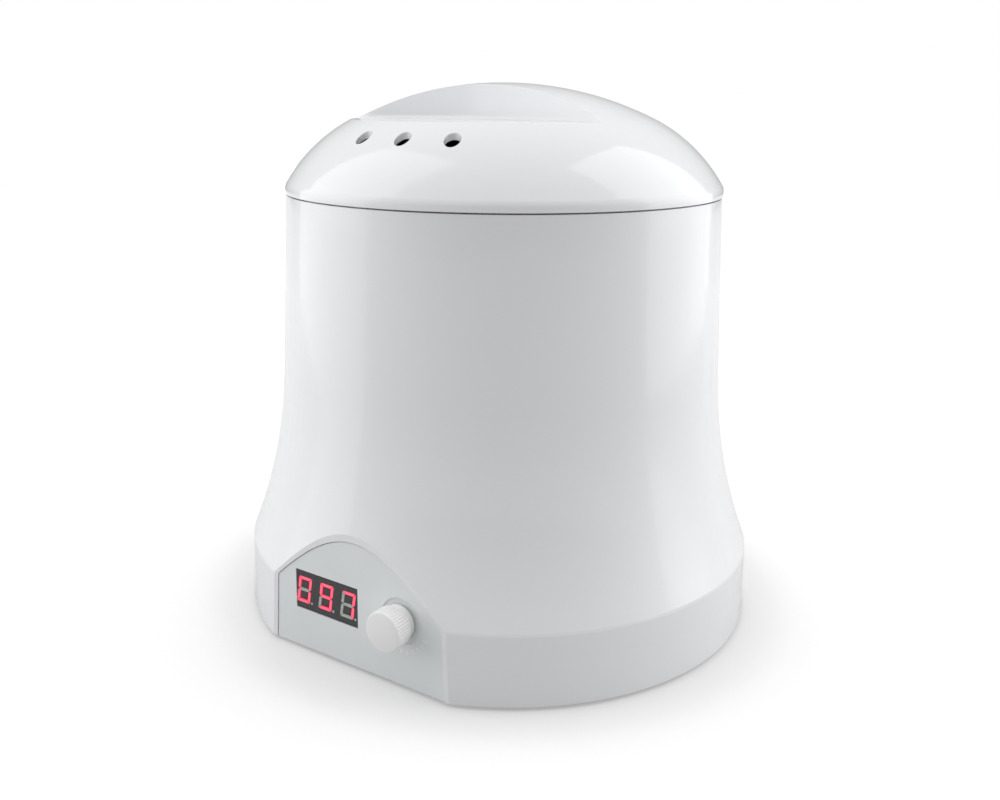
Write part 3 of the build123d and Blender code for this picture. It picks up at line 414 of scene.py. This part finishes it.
def hoops(rim, steps):
    """Grows the skin through several hoops and gives the last one."""
    for step in steps:
        rim = next_hoop(list(set(rim)), *step)
    return list(set(rim))


face_edge = knob_length - face_radius ** 2 / (2 * knob_dome)
front_rim = hoops(back_rim, (
    (0.35 * mm, knob_radius, 0.9),
    (0.6 * mm, knob_radius, 1.0),
    (knob_length - 1.5 * mm, knob_radius, 1.0),
    (knob_length - 1.0 * mm, knob_radius - 0.02 * mm, 0.8),
    (knob_length - 0.8 * mm, knob_radius - 0.08 * mm, 0.4),
    (face_edge - 0.05 * mm, face_radius + 0.13 * mm, 0.05),
    (face_edge, face_radius),
))
for share in (0.97, 0.85, 0.7, 0.5, 0.3, 0.1):
    size = share * face_radius
    front_rim = hoops(front_rim, ((knob_length - size ** 2 / (2 * knob_dome), size),))
front = {corner for edge in front_rim for corner in edge.verts}
bmesh.ops.pointmerge(mesh, verts=list(front), merge_co=(0, 0, knob_length))
bore_rim = hoops(back_rim, (
    (0.0, hub_radius),
    (-hub_length, hub_radius),
    (-hub_length, hub_bore),
    (0.0, hub_bore),
    (0.0, shaft_radius),
    (shaft_grip, shaft_radius),
))
bore = {corner for edge in bore_rim for corner in edge.verts}
bmesh.ops.pointmerge(mesh, verts=list(bore), merge_co=(0, 0, shaft_grip))
bmesh.ops.recalc_face_normals(mesh, faces=mesh.faces)
for face in mesh.faces:
    face.smooth = True
seat = Matrix.Translation(knob_place + Vector((0, knob_back, 0)))
facing_front = Matrix.Rotation(radians(90), 4, "X")
bmesh.ops.transform(mesh, matrix=seat @ facing_front, verts=mesh.verts)
fluted_knob = bpy.data.objects.new("fluted_knob", bpy.data.meshes.new("fluted_knob"))
mesh.to_mesh(fluted_knob.data)
mesh.free()
fluted_knob.data.set_sharp_from_angle(angle=radians(60))

knob_white = Finish("knob_white", Specular_IOR_Level=0.4)
knob_white.tint(knob_white.grain(150.0), (0.87, 0.87, 0.865), (0.9, 0.9, 0.895))
knob_white.gloss(knob_white.grain(700.0), 0.38, 0.5)
knob_white.relief(knob_white.grain(1800.0), 0.004 * mm)
fluted_knob.data.materials.append(knob_white.material)
bpy.context.scene.collection.objects.link(fluted_knob)
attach(fluted_knob, "knob")
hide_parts("knob")

aluminium = Finish("aluminium", Metallic=1.0)
aluminium.tint(aluminium.grain(60.0, stretch=(1, 1, 12)), (0.68, 0.69, 0.7), (0.8, 0.81, 0.82))
aluminium.gloss(aluminium.grain(60.0, stretch=(1, 1, 25), detail=4.0), 0.28, 0.42)
aluminium.relief(aluminium.grain(60.0, stretch=(1, 1, 25), detail=4.0), 0.02 * mm)
coat(aluminium, "potentiometer_shaft", "pot", "ear_rivets")


# Lid.
# A domed moulding of the same ABS, polished brighter, with a ridge between two scoops to
# lift it by and three holes near the front edge that let the warm air out.
lid_abs = moulded_abs("lid_abs", (0.1, 0.15), Coat_Weight=0.6, Coat_Roughness=0.03)
coat(lid_abs, "lid")


# Collar, well and pot.
# Under the lid a heat-proof ring covers the rim. The cast well hangs in it from three
# screws, and the spun aluminium pot stands in the well by its flange.
collar_plastic = Finish("collar_plastic", Specular_IOR_Level=0.4)
collar_plastic.tint(collar_plastic.grain(120.0), (0.7, 0.705, 0.71), (0.75, 0.755, 0.76))
collar_plastic.gloss(collar_plastic.grain(500.0), 0.4, 0.52)
collar_plastic.relief(collar_plastic.grain(1500.0), 0.02 * mm)
coat(collar_plastic, "rim_collar")

cast_aluminium = Finish("cast_aluminium", Metallic=1.0)
cast_aluminium.tint(cast_aluminium.grain(300.0), (0.42, 0.43, 0.44), (0.56, 0.57, 0.58))
cast_aluminium.gloss(cast_aluminium.grain(500.0), 0.42, 0.6)
cast_aluminium.relief(cast_aluminium.grain(900.0), 0.06 * mm)
coat(cast_aluminium, "heating_well")

stainless = Finish("stainless", Metallic=1.0)
stainless.tint(stainless.grain(200.0), (0.55, 0.55, 0.555), (0.66, 0.66, 0.665))
stainless.gloss(stainless.grain(800.0), 0.18, 0.26)
stainless.relief(stainless.grain(2000.0), 0.01 * mm)
steel_pieces = ("heating_band", "temperature_sensor", "retaining_clips", "pot_ears", "pot_handle")
coat(stainless, *steel_pieces)

grip_black = Finish("grip_black", Specular_IOR_Level=0.4)
grip_black.tint(grip_black.grain(400.0), (0.022, 0.022, 0.023), (0.034, 0.034, 0.035))
grip_black.gloss(grip_black.grain(1200.0), 0.45, 0.6)
grip_black.relief(grip_black.grain(1800.0), 0.03 * mm)

grip_circle = 60.5 * mm
grip_radius = 4.5 * mm
grip_place = Vector((0, 8.0, 173.2)) * mm
grip_arc = radians(34)
wire_radius = 1.5 * mm
grip_steps = 72
groove_count, groove_depth = 6, 0.45 * mm
grooved_share = 0.62
end_round = 2.5 * mm

mesh = bmesh.new()
bmesh.ops.create_circle(mesh, segments=40, radius=grip_radius)
across = Matrix.Translation((grip_circle, 0, 0)) @ Matrix.Rotation(radians(90), 4, "X")
first_end = Matrix.Rotation(radians(90) - grip_arc / 2, 4, "Z")
bmesh.ops.transform(mesh, matrix=first_end @ across, verts=mesh.verts)
ring = mesh.verts[:] + mesh.edges[:]
bmesh.ops.spin(mesh, geom=ring, axis=(0, 0, 1), angle=grip_arc, steps=grip_steps)
for corner in mesh.verts:
    around = atan2(corner.co.y, corner.co.x)
    line = Vector((grip_circle * cos(around), grip_circle * sin(around), 0))
    share = (around - radians(90)) / (grip_arc / 2)
    to_end = (1 - abs(share)) * grip_arc / 2 * grip_circle
    size = 1.0
    if to_end < end_round:
        bulge = sqrt(max(0.0, 1 - (1 - to_end / end_round) ** 2))
        size = wire_radius / grip_radius + (1 - wire_radius / grip_radius) * bulge
    elif abs(share) < grooved_share:
        wave = 0.5 + 0.5 * cos(share / grooved_share * groove_count * radians(180))
        size = 1 - groove_depth / grip_radius * wave ** 3
    corner.co = line + (corner.co - line) * size
bmesh.ops.recalc_face_normals(mesh, faces=mesh.faces)
for face in mesh.faces:
    face.smooth = True
bmesh.ops.translate(mesh, vec=grip_place, verts=mesh.verts)
moulded_grip = bpy.data.objects.new("moulded_grip", bpy.data.meshes.new("moulded_grip"))
mesh.to_mesh(moulded_grip.data)
mesh.free()
moulded_grip.data.materials.append(grip_black.material)
bpy.context.scene.collection.objects.link(moulded_grip)
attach(moulded_grip, "handle")
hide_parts("handle_grip")


# Heater.
# A steel band heater clamped round the well, wrapped in a felted glass sleeve, with a
# sensor and a fuse in clips under the well's floor.
glass_felt = Finish("glass_felt", Specular_IOR_Level=0.2, Sheen_Weight=0.3)
glass_felt.tint(glass_felt.grain(500.0, detail=6.0), (0.6, 0.57, 0.48), (0.8, 0.78, 0.7))
glass_felt.gloss(glass_felt.grain(900.0), 0.85, 1.0)
glass_felt.relief(glass_felt.grain(900.0, detail=8.0), 0.4 * mm)
coat(glass_felt, "insulation_sleeve")

fuse_case = Finish("fuse_case")
fuse_case.tint(fuse_case.grain(700.0), (0.6, 0.56, 0.44), (0.7, 0.66, 0.54))
fuse_case.gloss(fuse_case.grain(700.0), 0.35, 0.5)
coat(fuse_case, "thermal_fuse")

brass = Finish("brass", Metallic=1.0)
brass.tint(brass.grain(900.0), (0.62, 0.45, 0.18), (0.74, 0.57, 0.27))
brass.gloss(brass.grain(1500.0), 0.28, 0.38)
coat(brass, "heater_terminals", "inlet_pins")


# Power inlet and boards.
# The mains inlet is a black moulding with two pins. Inside, green boards carry the
# transformer, relay, capacitor and terminals.
inlet_black = Finish("inlet_black", Specular_IOR_Level=0.4)
inlet_black.tint(inlet_black.grain(500.0), (0.018, 0.018, 0.02), (0.028, 0.028, 0.03))
inlet_black.gloss(inlet_black.grain(1200.0), 0.35, 0.5)
inlet_black.relief(inlet_black.grain(2200.0), 0.02 * mm)
coat(inlet_black, "power_inlet")

circuit_board = Finish("circuit_board", Specular_IOR_Level=0.5)
cells = {"Vector": circuit_board.place(), "Scale": 350.0}
tracks = circuit_board.add("TexVoronoi", cells, distance="MANHATTAN")
circuit_board.tint(tracks.outputs["Distance"], (0.02, 0.14, 0.05), (0.04, 0.24, 0.09), 0.45, 0.5)
circuit_board.gloss(circuit_board.grain(900.0), 0.28, 0.42)
coat(circuit_board, "control_board", "power_board")

tinned_steel = Finish("tinned_steel", Metallic=1.0)
tinned_steel.tint(tinned_steel.grain(1500.0), (0.56, 0.56, 0.54), (0.7, 0.7, 0.68))
tinned_steel.gloss(tinned_steel.grain(1500.0), 0.28, 0.4)
coat(tinned_steel, "display_pins")

core_iron = Finish("core_iron", Metallic=0.6)
stack = {"Vector": core_iron.place(), "Scale": 160.0}
sheets = core_iron.add("TexWave", stack, bands_direction="Y")
core_iron.tint(sheets.outputs["Fac"], (0.09, 0.09, 0.1), (0.24, 0.24, 0.25))
core_iron.gloss(core_iron.grain(900.0), 0.45, 0.6)
core_iron.relief(sheets.outputs["Fac"], 0.08 * mm)
coat(core_iron, "transformer_core")

coil_copper = Finish("coil_copper", Metallic=0.8)
winding = {"Vector": coil_copper.place(), "Scale": 220.0}
turns = coil_copper.add("TexWave", winding, bands_direction="Z")
coil_copper.tint(turns.outputs["Fac"], (0.3, 0.1, 0.04), (0.65, 0.3, 0.13))
coil_copper.gloss(coil_copper.grain(900.0), 0.28, 0.42)
coil_copper.relief(turns.outputs["Fac"], 0.15 * mm)
coat(coil_copper, "transformer_coil")

plain_plastics = (
    ("relay_blue", (0.03, 0.1, 0.34), (0.05, 0.14, 0.42), ("relay",)),
    ("capacitor_sleeve", (0.03, 0.03, 0.06), (0.05, 0.05, 0.09), ("supply_capacitor",)),
    ("terminal_green", (0.05, 0.28, 0.12), (0.08, 0.36, 0.16), ("terminal_block",)),
    ("lead_glass", (0.7, 0.69, 0.64), (0.82, 0.81, 0.77), ("heater_leads",)),
    ("lead_brown", (0.1, 0.045, 0.02), (0.16, 0.075, 0.035), ("mains_leads",)),
    ("lead_white", (0.75, 0.75, 0.75), (0.82, 0.82, 0.82), ("sensor_lead",)),
    ("cable_grey", (0.32, 0.33, 0.34), (0.4, 0.41, 0.42), ("signal_cable",)),
)
for name, low, high, pieces in plain_plastics:
    cover = Finish(name)
    cover.tint(cover.grain(500.0), low, high)
    cover.gloss(cover.grain(900.0), 0.35, 0.5)
    cover.relief(cover.grain(1500.0), 0.02 * mm)
    coat(cover, *pieces)
